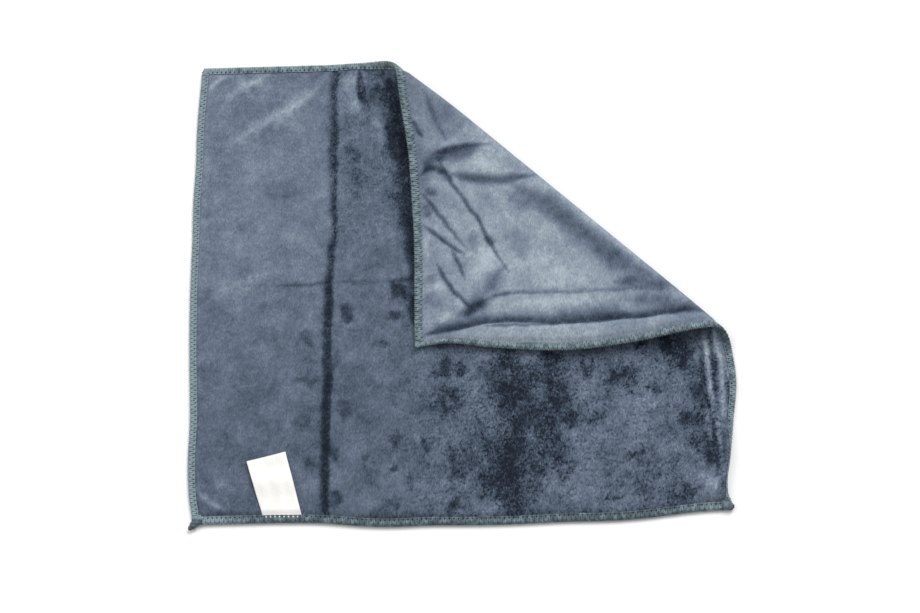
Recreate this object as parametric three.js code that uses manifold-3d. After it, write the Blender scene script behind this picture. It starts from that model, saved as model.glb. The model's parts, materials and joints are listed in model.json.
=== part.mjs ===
// A plush microfiber cleaning cloth that lies face up with its far right corner turned over.
// One knitted sheet with pile on both faces, a three-thread overlock all round its edge, and a
// folded satin label caught in the near hem. Millimetres, +X along the cloth's width, +Z up,
// origin under the middle of the cloth, on the surface that it lies on.
import * as THREE from "three";
import { mergeVertices } from "three/addons/utils/BufferGeometryUtils.js";
import Module from "manifold-3d";

// The sheet
const clothWidth = 400;
const clothDepth = 380;
const pileThickness = 3.6;
const fitGap = 0.3;

// The turned corner: where the fold crosses the far edge and the right edge, from the corner
const foldOnFarEdge = 258;
const foldOnRightEdge = 245;
const foldRadius = 6;
const foldSteps = 10;

// The overlock edge: fabric squeezed to a tongue, with looper threads over and under it
const hemWidth = 5;
const tongueThickness = 1;
const pileShoulder = 3.5;
const looperThickness = 0.7;
const edgeThread = 0.9;
const hemBevel = 0.35;
const needleThread = 0.6;

// Packing creases, pressed into the face as shallow grooves
const creaseWidth = 5;
const creaseDepth = 0.9;
const quarterCreaseFromLeft = 102;
const middleCreaseFromNear = 193;
const middleCreaseLength = 150;

// Pressed lines on the turned corner, measured from its own hems
const borderTuckFromRightEdge = 21;
const borderTuckLength = 190;

// The label: one satin ribbon folded double, both ends sewn into the near hem at a slant
const labelWidth = 28.5;
const labelLength = 45;
const labelFromLeft = 68;
const labelSlant = THREE.MathUtils.degToRad(14.3);
const ribbonThickness = 0.2;
const leafGap = 0.5;

const pileColour = 0x6c7a8b;
const threadColour = 0x7e8b89;
const labelColour = 0xf5f2ee;

// Places that follow from those sizes
const right = clothWidth / 2;
const far = clothDepth / 2;
const middle = pileThickness / 2;
const tongueHalf = tongueThickness / 2;
const looperUnder = tongueHalf + fitGap;
const looperTop = looperUnder + looperThickness;
const tongueStart = edgeThread + fitGap;
const needleStart = hemWidth + fitGap;
const needleEnd = needleStart + needleThread;
const shoulderStart = needleEnd + 2 * fitGap;
const shoulderEnd = shoulderStart + pileShoulder;
const foldClear = fitGap / 2;
const mitreGap = fitGap / Math.SQRT2;

// The fold line runs from the far edge to the right edge; its normal points at the corner.
const foldStart = new THREE.Vector2(right - foldOnFarEdge, far);
const foldNormal = new THREE.Vector2(foldOnRightEdge, foldOnFarEdge).normalize();
const cornerReach = foldNormal.dot(new THREE.Vector2(right, far).sub(foldStart));

// The corner lies back on the pile: it leans down from the top of the bend to its tip. The lean
// and the length of fabric in the bend depend on each other, so they are found step by step.
const restingHeight = middle + fitGap + Math.max(middle, looperTop);
let lean = 0;
for (let pass = 0; pass < 12; pass++) {
  const reach = cornerReach - foldRadius * (Math.PI + lean);
  lean = Math.asin((foldRadius * (1 + Math.cos(lean)) - restingHeight) / reach);
}
const turn = Math.PI + lean;
const bendLength = foldRadius * turn;

// How far a point of the flat cloth lies past the fold line.
function pastFold(u, v) {
  return foldNormal.x * (u - foldStart.x) + foldNormal.y * (v - foldStart.y);
}

// Where a point of the flat cloth lies once the corner is turned over; height is measured from
// the middle of the fabric towards the face.
function lay(u, v, height) {
  const past = pastFold(u, v);
  if (past <= 0) return new THREE.Vector3(u, v, middle + height);
  const angle = Math.min(past / foldRadius, turn);
  const beyond = Math.max(past - bendLength, 0);
  const sin = Math.sin(angle);
  const cos = Math.cos(angle);
  const across = (foldRadius - height) * sin + beyond * cos;
  const rise = foldRadius - (foldRadius - height) * cos + beyond * sin;
  const shift = across - past;
  return new THREE.Vector3(u + shift * foldNormal.x, v + shift * foldNormal.y, middle + rise);
}

// Points a given distance in from the far or right edge and a given distance past the fold.
function onFarEdge(inset, past) {
  const v = far - inset;
  const u = foldStart.x + (past - foldNormal.y * (v - foldStart.y)) / foldNormal.x;
  return new THREE.Vector2(u, v);
}

function onRightEdge(inset, past) {
  const u = right - inset;
  const v = foldStart.y + (past - foldNormal.x * (u - foldStart.x)) / foldNormal.y;
  return new THREE.Vector2(u, v);
}

// A closed body through rings with the same number of points; outline is the shape of a ring, for
// filling the first and the last one.
function loft(rings, outline) {
  if (THREE.ShapeUtils.isClockWise(outline)) {
    return loft(rings.map((ring) => ring.toReversed()), outline.toReversed());
  }
  const count = outline.length;
  const positions = rings.flat().flatMap((point) => point.toArray());
  const triangles = [];
  for (let ring = 0; ring + 1 < rings.length; ring++) {
    for (let k = 0; k < count; k++) {
      const a = ring * count + k;
      const b = ring * count + ((k + 1) % count);
      triangles.push(a, b, b + count, a, b + count, a + count);
    }
  }
  const last = (rings.length - 1) * count;
  for (const [i, j, k] of THREE.ShapeUtils.triangulateShape(outline, [])) {
    triangles.push(k, j, i, last + i, last + j, last + k);
  }
  return facingOut(positions, triangles);
}

// A geometry whose triangles are turned round if they enclose a negative volume.
function facingOut(positions, triangles) {
  const corner = (index) => new THREE.Vector3().fromArray(positions, 3 * index);
  let volume = 0;
  for (let t = 0; t < triangles.length; t += 3) {
    const [a, b, c] = [0, 1, 2].map((k) => corner(triangles[t + k]));
    volume += a.dot(b.cross(c));
  }
  if (volume < 0) triangles.reverse();
  const geometry = new THREE.BufferGeometry();
  geometry.setAttribute("position", new THREE.Float32BufferAttribute(positions, 3));
  geometry.setIndex(triangles);
  geometry.computeVertexNormals();
  return geometry;
}

const wasm = await Module();
wasm.setup();

function toSolid(geometry) {
  const bare = geometry.clone();
  bare.deleteAttribute("normal");
  bare.deleteAttribute("uv");
  const merged = mergeVertices(bare, 1e-4);
  return new wasm.Manifold(
    new wasm.Mesh({
      numProp: 3,
      vertProperties: new Float32Array(merged.attributes.position.array),
      triVerts: new Uint32Array(merged.index.array),
    }),
  );
}

function cut(geometry, ...tools) {
  let solid = toSolid(geometry);
  for (const tool of tools) solid = solid.subtract(toSolid(tool));
  const mesh = solid.getMesh();
  const result = new THREE.BufferGeometry();
  result.setAttribute("position", new THREE.Float32BufferAttribute(mesh.vertProperties, 3));
  result.setIndex(Array.from(mesh.triVerts));
  result.computeVertexNormals();
  return result;
}

// The fabric's edge from the top of the pile, down the shoulder, round the tongue and up again,
// as distance in from the cloth's edge and height from the middle of the fabric.
const edgeProfile = [
  [shoulderEnd, middle],
  [shoulderStart, tongueHalf],
  [tongueStart, tongueHalf],
  [tongueStart, -tongueHalf],
  [shoulderStart, -tongueHalf],
  [shoulderEnd, -middle],
];

// A flat piece of fabric whose corners are known for each distance in from the edge.
function fabricPiece(cornersAt) {
  const rings = edgeProfile.map(([inset, height]) =>
    cornersAt(inset).map((p) => lay(p.x, p.y, height)),
  );
  return loft(rings, cornersAt(shoulderEnd));
}

// A shallow V groove along a straight line of the cloth's face or back.
function creaseTool(from, to, side) {
  const run = to.clone().sub(from).normalize();
  const aside = new THREE.Vector2(-run.y, run.x).multiplyScalar(creaseWidth);
  const overshoot = creaseDepth;
  const section = [
    [-1, middle + overshoot],
    [0, middle - creaseDepth],
    [1, middle + overshoot],
  ];
  const rings = [from, to].map((end) =>
    section.map(([k, height]) => lay(end.x + k * aside.x, end.y + k * aside.y, side * height)),
  );
  const outline = section.map(([k, height]) => new THREE.Vector2(k * creaseWidth, height));
  return loft(rings, outline);
}

// The label's places
const labelRoot = needleEnd + 5 * fitGap;
const labelMiddle = labelFromLeft - right;
const rootLine = labelRoot - far;
const labelBase = pileThickness + fitGap;
const labelHeight = 2 * ribbonThickness + leafGap;
const tailThickness = 2 * ribbonThickness;
const tongueTop = middle + tongueHalf;
const rootWidth = labelWidth / Math.cos(labelSlant);

function clothPanel() {
  const corners = (inset) => [
    new THREE.Vector2(inset - right, inset - far),
    new THREE.Vector2(right - inset, inset - far),
    onRightEdge(inset, -foldClear),
    onFarEdge(inset, -foldClear),
    new THREE.Vector2(inset - right, far - inset),
  ];
  const creaseX = quarterCreaseFromLeft - right;
  const creaseY = middleCreaseFromNear - far;
  const quarterCrease = creaseTool(
    new THREE.Vector2(creaseX, shoulderEnd - far),
    new THREE.Vector2(creaseX, far - shoulderEnd),
    1,
  );
  const middleCrease = creaseTool(
    new THREE.Vector2(shoulderEnd - right, creaseY),
    new THREE.Vector2(shoulderEnd - right + middleCreaseLength, creaseY),
    1,
  );
  // The pile is pressed flat under the label's sewn end.
  const pocketDepth = labelRoot + fitGap;
  const pocketFloor = tongueTop - tailThickness - fitGap;
  const pocketLean = pocketDepth * Math.tan(labelSlant);
  const pocket = new THREE.BoxGeometry(
    rootWidth + 2 * (fitGap + pocketLean),
    pocketDepth,
    pileThickness,
  );
  pocket.translate(labelMiddle, pocketDepth / 2 - far, pocketFloor + pileThickness / 2);
  return cut(fabricPiece(corners), quarterCrease, middleCrease, pocket);
}

function clothBend() {
  const outline = [];
  for (const [inset, height] of edgeProfile) {
    outline.push({ edge: onFarEdge, inset, height });
  }
  for (const [inset, height] of edgeProfile.toReversed()) {
    outline.push({ edge: onRightEdge, inset, height });
  }
  const rings = bendPlaces().map((past) =>
    outline.map(({ edge, inset, height }) => {
      const p = edge(inset, past);
      return lay(p.x, p.y, height);
    }),
  );
  const alongFold = new THREE.Vector2(foldNormal.y, -foldNormal.x);
  const flat = outline.map(
    ({ edge, inset, height }) =>
      new THREE.Vector2(edge(inset, 0).sub(foldStart).dot(alongFold), height),
  );
  return loft(rings, flat);
}

// Distances past the fold line at which the bend's rings lie.
function bendPlaces() {
  const places = [];
  for (let step = 0; step <= foldSteps; step++) {
    const share = step / foldSteps;
    places.push(foldClear + share * (bendLength - 2 * foldClear));
  }
  return places;
}

function clothCorner() {
  const start = bendLength + foldClear;
  const corners = (inset) => [
    onFarEdge(inset, start),
    onRightEdge(inset, start),
    new THREE.Vector2(right - inset, far - inset),
  ];
  const tuckX = right - borderTuckFromRightEdge;
  const tuckEnd = far - shoulderEnd;
  const borderTuck = creaseTool(
    new THREE.Vector2(tuckX, tuckEnd),
    new THREE.Vector2(tuckX, tuckEnd - borderTuckLength),
    -1,
  );
  return cut(fabricPiece(corners), borderTuck);
}

// Sections of the three overlock threads, as distance in from the edge and height from the
// middle of the fabric. The loopers meet over the raw edge.
function looperSection(side) {
  return [
    [0, foldClear],
    [0, looperTop - hemBevel],
    [hemBevel, looperTop],
    [hemWidth - hemBevel, looperTop],
    [hemWidth, looperTop - hemBevel],
    [hemWidth, looperUnder],
    [edgeThread, looperUnder],
    [edgeThread, foldClear],
  ].map(([inset, height]) => ({ inset, height: side * height }));
}

function needleSection() {
  const sides = 8;
  const radius = needleThread / 2;
  const section = [];
  for (let k = 0; k < sides; k++) {
    const angle = (2 * Math.PI * k) / sides;
    section.push({
      inset: needleStart + radius + radius * Math.cos(angle),
      height: looperUnder + radius + radius * Math.sin(angle),
    });
  }
  return section;
}

const threads = [
  { name: "upper_looper", section: looperSection(1) },
  { name: "lower_looper", section: looperSection(-1) },
  { name: "needle_thread", section: needleSection() },
];

// Each run of the hem, as the places of its cross sections for a distance in from the edge.
const bendStart = -foldClear;
const bendEnd = bendLength + foldClear;
const leftEnd = (inset) => inset + mitreGap - right;
const rightEnd = (inset) => right - inset - mitreGap;
const nearEnd = (inset) => inset + mitreGap - far;
const farEnd = (inset) => far - inset - mitreGap;
const at = (u, v) => new THREE.Vector2(u, v);
const hemRuns = {
  left: [(i) => at(i - right, nearEnd(i)), (i) => at(i - right, farEnd(i))],
  near: [(i) => at(leftEnd(i), i - far), (i) => at(rightEnd(i), i - far)],
  right: [(i) => at(right - i, nearEnd(i)), (i) => onRightEdge(i, bendStart)],
  far: [(i) => at(leftEnd(i), far - i), (i) => onFarEdge(i, bendStart)],
  right_bend: bendPlaces().map((past) => (i) => onRightEdge(i, past)),
  far_bend: bendPlaces().map((past) => (i) => onFarEdge(i, past)),
  right_turned: [(i) => onRightEdge(i, bendEnd), (i) => at(right - i, farEnd(i))],
  far_turned: [(i) => onFarEdge(i, bendEnd), (i) => at(rightEnd(i), far - i)],
};

function hemThread(section, places) {
  const rings = places.map((place) =>
    section.map(({ inset, height }) => {
      const p = place(inset);
      return lay(p.x, p.y, height);
    }),
  );
  const outline = section.map(({ inset, height }) => new THREE.Vector2(inset, height));
  return loft(rings, outline);
}

// The free part of the label: two leaves joined by a round fold at the far end.
function labelLeaves() {
  const outer = labelHeight / 2;
  const inner = leafGap / 2;
  const foldCentre = labelLength - outer;
  const tail = labelWidth;
  const outline = new THREE.Shape();
  outline.moveTo(-tail, -outer);
  outline.lineTo(foldCentre, -outer);
  outline.absarc(foldCentre, 0, outer, -Math.PI / 2, Math.PI / 2, false);
  outline.lineTo(-tail, outer);
  outline.lineTo(-tail, inner);
  outline.lineTo(foldCentre, inner);
  outline.absarc(foldCentre, 0, inner, Math.PI / 2, -Math.PI / 2, true);
  outline.lineTo(-tail, -inner);
  const ribbon = new THREE.ExtrudeGeometry(outline, {
    depth: labelWidth,
    bevelEnabled: false,
    curveSegments: 5,
  });
  // The outline runs along +Y with its height along +Z, and is as wide as the label along X.
  ribbon.translate(0, 0, -labelWidth / 2);
  ribbon.applyMatrix4(
    new THREE.Matrix4().makeBasis(
      new THREE.Vector3(0, 1, 0),
      new THREE.Vector3(0, 0, 1),
      new THREE.Vector3(1, 0, 0),
    ),
  );
  ribbon.rotateZ(labelSlant);
  ribbon.translate(labelMiddle, rootLine, labelBase + outer);
  const hemSide = new THREE.BoxGeometry(clothWidth, clothWidth, clothWidth);
  hemSide.translate(labelMiddle, rootLine - clothWidth / 2, 0);
  return cut(ribbon, hemSide);
}

// The sewn end of the label, pressed between the squeezed fabric and the looper thread.
function labelTail() {
  const bend = needleEnd + fitGap;
  const tailStart = tongueStart + fitGap;
  const points = [
    [tailStart, tongueTop - tailThickness],
    [bend + ribbonThickness, tongueTop - tailThickness],
    [labelRoot, pileThickness - tailThickness],
    [labelRoot, pileThickness],
    [bend, tongueTop],
    [tailStart, tongueTop],
  ];
  const rings = [-1, 1].map((side) =>
    points.map(([inset, z]) => {
      const slantShift = (labelRoot - inset) * Math.tan(labelSlant);
      const x = labelMiddle + (side * rootWidth) / 2 + slantShift;
      return new THREE.Vector3(x, inset - far, z);
    }),
  );
  return loft(rings, points.map(([inset, z]) => new THREE.Vector2(inset, z)));
}

const plush = new THREE.MeshStandardMaterial({ color: pileColour, roughness: 0.95, metalness: 0 });
const thread = new THREE.MeshStandardMaterial({ color: threadColour, roughness: 0.8, metalness: 0 });
const satin = new THREE.MeshStandardMaterial({ color: labelColour, roughness: 0.55, metalness: 0 });

const cloth = new THREE.Group();
cloth.name = "microfiber_cloth";

function addPiece(name, geometry, material) {
  const mesh = new THREE.Mesh(geometry, material);
  mesh.name = name;
  cloth.add(mesh);
}

addPiece("cloth_panel", clothPanel(), plush);
addPiece("cloth_bend", clothBend(), plush);
addPiece("cloth_corner", clothCorner(), plush);
for (const [run, places] of Object.entries(hemRuns)) {
  for (const { name, section } of threads) {
    addPiece(`${name}_${run}`, hemThread(section, places), thread);
  }
}
addPiece("label_leaves", labelLeaves(), satin);
addPiece("label_tail", labelTail(), satin);

// The corner opens about a line beside the bend, so that it comes to lie where it was cut. That
// line is the one point that a turn takes from the end of the bend to the end of its flat length.
const bendTop = new THREE.Vector2(foldRadius * Math.sin(turn), foldRadius * (1 - Math.cos(turn)));
const openEnd = new THREE.Vector2(bendLength, 0);
const halfway = bendTop.clone().add(openEnd).multiplyScalar(0.5);
const chord = openEnd.clone().sub(bendTop);
const pivot = new THREE.Vector2(-chord.y, chord.x)
  .multiplyScalar(-0.5 / Math.tan(turn / 2))
  .add(halfway);
const foldMiddle = foldStart.clone().add(onRightEdge(0, 0)).multiplyScalar(0.5);
cloth.userData.cornerHinge = {
  point: [
    foldMiddle.x + pivot.x * foldNormal.x,
    foldMiddle.y + pivot.x * foldNormal.y,
    middle + pivot.y,
  ],
  axis: [-foldNormal.y, foldNormal.x, 0],
  opens: turn,
};
cloth.userData.labelHinge = {
  point: [labelMiddle, rootLine, labelBase + labelHeight / 2],
  axis: [1, 0, 0],
  opens: Math.PI,
};

export default cloth;
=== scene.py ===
import json
import math

import bpy
import numpy as np
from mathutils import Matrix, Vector


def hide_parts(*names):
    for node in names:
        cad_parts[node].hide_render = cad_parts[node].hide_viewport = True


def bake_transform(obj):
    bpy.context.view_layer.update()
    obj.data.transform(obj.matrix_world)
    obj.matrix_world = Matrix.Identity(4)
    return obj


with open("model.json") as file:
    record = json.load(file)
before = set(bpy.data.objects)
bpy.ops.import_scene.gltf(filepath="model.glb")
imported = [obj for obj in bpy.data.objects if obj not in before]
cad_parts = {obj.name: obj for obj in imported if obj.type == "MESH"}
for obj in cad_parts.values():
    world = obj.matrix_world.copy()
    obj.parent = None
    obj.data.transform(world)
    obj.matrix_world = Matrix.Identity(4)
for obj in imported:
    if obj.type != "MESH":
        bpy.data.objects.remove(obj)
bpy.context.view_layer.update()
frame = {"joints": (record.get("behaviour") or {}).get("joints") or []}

# The cloth: one knitted microfiber sheet with plush pile on both faces, cut to a rectangle and
# drawn in at its corners by the overlock. It lies face up with its far right corner turned over,
# so the corner shows the back, whose pile lies smooth, and the rest the brushed face.
MM = 0.001  # the cloth's sizes are in mm; u, v are places on it when flat, x, y when laid
cloth_width = 400.0
cloth_depth = 380.0
raw_edge = 1.2
pile_half = 1.8
tongue_half = 0.4
hem_width = 5.0
pile_shoulder = 3.6

# The fold: how far from the corner it crosses the far and the right edge, the radius of its roll,
# and by how many degrees the corner turns beyond half a turn, so that it leans down to the panel.
fold_on_far_edge = 258.0
fold_on_right_edge = 245.0
fold_radius = 6.0
corner_lean = 2.9
turn = math.radians(180.0 + corner_lean)
fold_length = math.hypot(fold_on_far_edge, fold_on_right_edge)
fold_start = np.array([cloth_width / 2 - fold_on_far_edge, cloth_depth / 2])
fold_normal = np.array([fold_on_right_edge, fold_on_far_edge]) / fold_length
fold_along = np.array([fold_on_far_edge, -fold_on_right_edge]) / fold_length

# At its two open ends the fold rolls wider: by how much, and over what length from the end. The
# wider roll starts further back, in proportion, so that the corner stays where it is.
roll_at_far_edge = (6.8, 80.0)
roll_at_right_edge = (1.4, 60.0)
roll_set_back = 0.5 * math.pi + 0.3

# How far each edge bows out between its corners: the middle of a bow along the edge, its half
# span and its depth, which dies away over bow_reach into the cloth. The whole cloth is a little
# out of square, by cloth_skew.
bow_reach = 85.0
edge_bows = {
    "left": [(0, 190, 4.6), (140, 70, 2.2), (-145, 45, 1.9), (75, 40, 1.2), (-192, 26, -2.0)],
    "near": [(30, 185, 6.5), (-62, 50, 2.2), (125, 60, 2.4)],
    "right": [(-85, 80, 5.4), (-165, 25, -1.5), (-150, 45, 4.4), (-90, 45, 2.2), (64, 112, 11.6),
              (-5, 60, 2.2), (170, 40, -2.8)],
    "far": [(-75, 30, 1.0), (95, 115, -4.1), (30, 55, -1.4)],
}
cloth_skew = 0.0127

# The right edge rolls down over its lower half, so its hem shows only in part: how far it turns at
# places along the edge, in degrees. Where it would reach below the table, the cloth beside it lifts.
edge_roll_places = [-186, -178, -166, -150, -142, -134, -122, -110, -90, -40]
edge_roll_turns = [0, 66, 92, 94, 84, 60, 34, 20, 10, 0]
edge_roll_radius = 2.0
edge_roll_start = 6.6
edge_roll_free_drop = 0.5
edge_roll_lift_reach = 40.0

# How wide the hem is along each edge, as a share of its usual width.
hem_shares = {
    "left": [(-190, 0.86), (190, 0.86)],
    "near": [(-200, 1.0), (200, 1.0)],
    "right": [(-190, 0.86), (-90, 0.86), (-40, 0.95), (100, 1.0), (140, 0.8), (175, 0.55), (190, 0.5)],
    "far": [(-200, 1.0), (-80, 1.0), (-30, 1.18), (200, 1.18)],
}


def hem_share(edge, along):
    return np.interp(along, *np.array(hem_shares[edge], float).T)


def smooth(t):
    t = np.clip(t, 0.0, 1.0)
    return t * t * (3.0 - 2.0 * t)


def ramp(places, start, end):
    """0 up to start and 1 from end on, with a soft slope between; start may be the higher one."""
    return smooth((places - start) / (end - start))


def bump(t):
    """1 at 0, falling softly to 0 at -1 and at 1."""
    return np.cos(0.5 * math.pi * np.clip(t, -1.0, 1.0)) ** 2


def bowed(u, v):
    """The flat cloth with its bowed edges and slight skew."""
    sides = {
        "left": (v, cloth_width / 2 + u, -1, 0),
        "right": (v, cloth_width / 2 - u, 1, 0),
        "near": (u, cloth_depth / 2 + v, 0, -1),
        "far": (u, cloth_depth / 2 - v, 0, 1),
    }
    out_u, out_v = 0.0, 0.0
    for side, (along, inset, to_u, to_v) in sides.items():
        for middle, half_span, depth in edge_bows[side]:
            push = depth * bump((along - middle) / half_span) * ramp(inset, bow_reach, 0.0)
            out_u = out_u + to_u * push
            out_v = out_v + to_v * push
    u, v = u + out_u, v + out_v
    return u + cloth_skew * v, v + cloth_skew * u


line_end_share = 0.25
line_end_thinness = 0.35


def line_at(x, y, points, width):
    """1 on a line given by its points, 0 a little beyond its width; the line thins towards its ends."""
    points = np.array(points, float)
    steps = np.diff(points, axis=0)
    lengths = np.hypot(steps[:, 0], steps[:, 1])
    starts = np.concatenate([[0.0], np.cumsum(lengths)[:-1]])
    nearest, place = np.full(np.shape(x), np.inf), np.zeros(np.shape(x))
    for (px, py), (dx, dy), length, start in zip(points, steps, lengths, starts):
        t = np.clip(((x - px) * dx + (y - py) * dy) / length**2, 0.0, 1.0)
        away = np.hypot(x - px - t * dx, y - py - t * dy)
        place = np.where(away < nearest, (start + t * length) / lengths.sum(), place)
        nearest = np.minimum(away, nearest)
    full = ramp(np.minimum(place, 1.0 - place), 0.0, line_end_share)
    thin = line_end_thinness + (1.0 - line_end_thinness) * full
    return thin * np.exp(-((nearest / (width * thin)) ** 2))


hill_cells = 64


def hills(x, y, size, seed):
    """Smooth random hills about one size apart, from -1 to 1; they repeat after hill_cells."""
    heights = np.random.default_rng(seed).uniform(-1.0, 1.0, (hill_cells, hill_cells))
    column, row = np.floor(x / size).astype(int), np.floor(y / size).astype(int)
    right, up = smooth(x / size - column), smooth(y / size - row)
    left_at, right_at = column % hill_cells, (column + 1) % hill_cells
    low_at, high_at = row % hill_cells, (row + 1) % hill_cells
    low = heights[left_at, low_at] * (1 - right) + heights[right_at, low_at] * right
    high = heights[left_at, high_at] * (1 - right) + heights[right_at, high_at] * right
    return low * (1 - up) + high * up


# Wrinkles of the turned corner, in the plan of the laid cloth: a line, its width, how deep its valley is,
# and how much painted shade darkens its pile.
corner_wrinkles = [
    ([(-22, 103), (-11, 106), (-2, 108), (8, 110), (24, 111)], 2.4, 1.4, 0.42),
    ([(-21, 100), (-8, 102), (6, 105), (17, 106)], 5.0, 0.5, 0.24),
    ([(-27, 91), (-20, 99), (-10, 99)], 5.0, 0.6, 0.24),
    ([(-29, 87), (-24, 91), (-18, 91), (-9, 87)], 2.4, 0.8, 0.42),
    ([(-10, 88), (1, 84), (16, 80), (32, 80), (43, 81), (57, 83)], 3.6, 1.3, 0.34),
    ([(-16, 92), (-6, 80)], 2.6, 0.4, 0.30),
    ([(-19, 104), (-14, 95), (-5, 78), (2, 68), (8, 57), (14, 50), (17, 44), (21, 31), (24, 27), (29, 17),
      (35, 7), (38, 1)], 1.3, 0.8, 0.46),
    ([(-27, 157), (-22, 143), (-16, 128), (-10, 115)], 1.8, 0.5, 0.26),
    ([(20, 34), (26, 25)], 3.2, 0.5, 0.26),
    ([(-32, 75), (-25, 66), (-16, 53), (-7, 41), (1, 29), (8, 21)], 1.3, 0.7, 0.38),
    ([(-28, 45), (-17, 35), (-7, 27), (-1, 22), (5, 19)], 1.35, 0.9, 0.48),
    ([(-7, 24), (-4, 19), (0, 9), (4, -2)], 1.3, 0.7, 0.38),
    ([(-18, 13), (-12, 0), (-4, -12), (5, -22), (12, -28)], 1.4, 0.9, 0.45),
    ([(-37, 134), (-32, 124), (-27, 117)], 1.6, 0.6, 0.40),
    ([(-27, 75), (-18, 69)], 3.6, 0.4, 0.26),
    ([(-28, 62), (-22, 50)], 4.0, 0.4, 0.22),
    ([(-24, 4), (-20, -5)], 5.0, 0.3, 0.12),
    ([(-26, -12), (-15, -24)], 7.0, 0.3, 0.14),
    ([(10, 38), (13, 20)], 4.0, 0.3, 0.14),
    ([(42, 40), (50, 10)], 8.0, 0.3, 0.08),
    ([(6, -27), (15, -18), (24, -6), (33, 7)], 6.0, 0.5, 0.22),
    ([(-32, 112), (-24, 72)], 9.0, 0.3, 0.12),
    ([(-20, 140), (0, 118)], 12.0, 0.3, 0.10),
    ([(-1, -31), (9, -26), (22, -22)], 5.0, 0.8, 0.26),
    ([(44, 74), (60, 64), (74, 52), (88, 38), (101, 27), (114, 14), (128, 5), (144, -4)], 8.0, 2.0, 0.33),
    ([(119, -9), (136, -9), (152, -11), (164, -13)], 5.0, 0.4, 0.30),
    ([(128, -24), (146, -25), (166, -26)], 5.0, 0.4, 0.16),
    ([(37, 68), (56, 57)], 8.0, 0.4, 0.14),
    ([(18, -40.5), (46, -41), (76, -41)], 1.3, 0.3, 0.36),
    ([(2, -31), (11, -25), (15, -22), (23, -17.5)], 3.2, 0.5, 0.30),
    ([(18, -20), (29, -15.5), (40, -14)], 1.9, 0.3, 0.20),
    ([(-26, -45), (-13, -43), (-4, -41), (8, -38)], 3.0, 0.3, 0.34),
]
# Beside each wrinkle, up and to the right, stands a low rim: its height, place and width are shares
# of the wrinkle's own depth and width.
rim_height = 0.5
rim_place = (1.6, 1.2)
rim_width = 1.3

# Where the pile of the corner catches the light: a line, its width, and how much paler it looks.
corner_lights = [
    ([(-3, -16), (4, -25)], 3.2, 0.16),
    ([(-18, -36), (-6, -27)], 4.0, 0.18),
    ([(5, 21), (10, 19)], 2.5, 0.10),
    ([(-19, -3), (-12, -10)], 3.0, 0.12),
    ([(9, -4), (20, 15), (27, 25)], 7.0, 0.09),
    ([(55, 10), (88, -4)], 16.0, 0.06),
    ([(12, 96), (34, 92)], 5.0, 0.09),
    ([(-27, 81), (-17, 79)], 3.0, 0.10),
    ([(-14, 61), (2, 38)], 5.0, 0.06),
    ([(-26, 39), (-24, 14)], 3.0, 0.14),
    ([(31, -22), (106, -23)], 5.0, 0.10),
    ([(74, 69), (108, 37), (138, 8)], 5.0, 0.10),
]

# Along its free border the corner is tucked: the cloth slopes down to a line across the corner,
# and the strip beyond it, towards the hem, stands up again. A pressed line runs above the tuck, and
# the middle of the corner sags between the fold and the hem.
tuck_line = [(-28, -48), (-16, -43), (-4, -42), (7, -40), (20, -37), (36, -37), (53, -38), (70, -40),
             (88, -40), (105, -40), (123, -38), (136, -38), (155, -36), (174, -35), (186, -36)]
tuck_depth = 2.8
tuck_slope = 9.0
tuck_step = 1.2
strip_rise = 1.5
press_line = [(10, -25), (20, -18), (29, -15), (43, -14), (60, -14), (82, -15), (137, -15), (167, -18)]
press_depth = 0.5
press_width = 1.5
corner_rest = 0.8
middle_sag = 1.6
sag_middle = (60.0, 15.0)
sag_reach = 60.0


def above_line(x, y, line):
    xs, ys = np.array(line, float).T
    return y - np.interp(x, xs, ys)


def tuck_share(x):
    """The tuck has its full depth in the middle of the border and dies out at both its ends."""
    return ramp(x, -36.0, 4.0) * ramp(x, 196.0, 166.0)


def corner_lift(x, y):
    """How far the turned corner stands off its plain slope, upwards."""
    from_middle = np.hypot(x - sag_middle[0], y - sag_middle[1])
    lift = corner_rest - middle_sag * np.exp(-((from_middle / sag_reach) ** 2))
    for points, width, depth, _ in corner_wrinkles:
        rim_x, rim_y = x - rim_place[0] * width, y - rim_place[1] * width
        lift = lift - depth * line_at(x, y, points, width)
        lift = lift + rim_height * depth * line_at(rim_x, rim_y, points, rim_width * width)
    above = above_line(x, y, tuck_line)
    valley = np.where(above > 0, np.exp(-above / tuck_slope), np.exp(above / tuck_step))
    strip = ramp(above, 0.0, -4.0) * ramp(above, -26.0, -6.0)
    lift = lift + tuck_share(x) * (strip_rise * strip - tuck_depth * valley)
    return lift - press_depth * line_at(x, y, press_line, press_width)


# Low ridges that the hem's pull raises in the panel: a line in the plan, its width and its height.
panel_ridges = [
    ([(-196, 171), (-185, 181)], 5.0, 0.8),
    ([(-173, 169), (-151, 180)], 6.0, 0.9),
    ([(-184, 117), (-155, 133), (-135, 143), (-121, 153), (-103, 176)], 5.0, 0.9),
    ([(-190, -12), (-170, 1), (-148, 8)], 7.0, 0.8),
    ([(-195, -164), (-180, -178), (-165, -184)], 4.0, 0.8),
]
wave_height = 0.9


def panel_lift(x, y):
    """Slow waves of the cloth on the table, which die out at the hem, and the ridges pulled into it."""
    wave = 0.5 + 0.5 * np.sin(x / 31.0 + 0.7 * np.sin(y / 43.0)) * np.cos(y / 37.0 + 0.4)
    inside = ramp(np.abs(x), 190.0, 150.0) * ramp(np.abs(y), 180.0, 140.0)
    lift = wave_height * wave * inside
    for points, width, height in panel_ridges:
        lift = lift + height * line_at(x, y, points, width)
    return lift


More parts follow.
